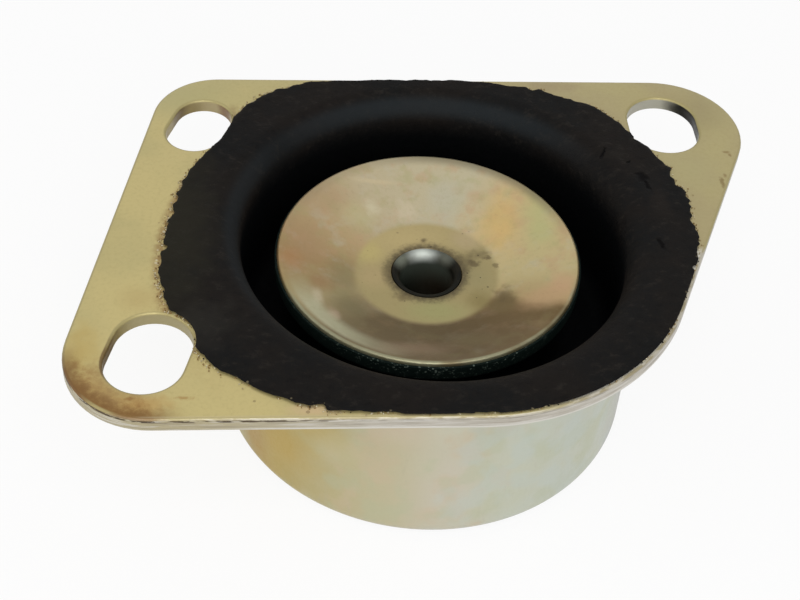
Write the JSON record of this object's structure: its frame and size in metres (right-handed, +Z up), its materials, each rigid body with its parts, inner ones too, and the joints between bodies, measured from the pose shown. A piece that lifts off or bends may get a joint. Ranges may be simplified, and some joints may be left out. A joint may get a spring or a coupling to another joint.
{
  "type": "transmission mount",
  "caption": "Sheet steel flange with bolt slots and a drawn cup, rubber moulded in the cup, and a dished washer on a bored steel bush.",
  "frame": {"origin": "lower end of the centre bore, on the bore's axis, level with the base of the cup", "axes": "+Z up along the bore, from the base of the cup to the flange and washer; +X along the flange's straight front edge, towards the corner whose edge runs into the round front; +Y to the flange's straight back edge"},
  "size_m": [0.1137, 0.0801, 0.0376],
  "materials": {
    "plated_sheet": "yellow passivated zinc plating, satin",
    "plated_washer": "yellow passivated zinc plating, smooth satin with faint colour bands",
    "bush_steel": "turned steel, dull",
    "rubber": "matte moulded rubber"
  },
  "bodies": {
    "root": {"flanged_cup": "plated_sheet", "moulded_rubber": "rubber", "dished_washer": "plated_washer", "stepped_bush": "bush_steel"}
  },
  "joints": []
}
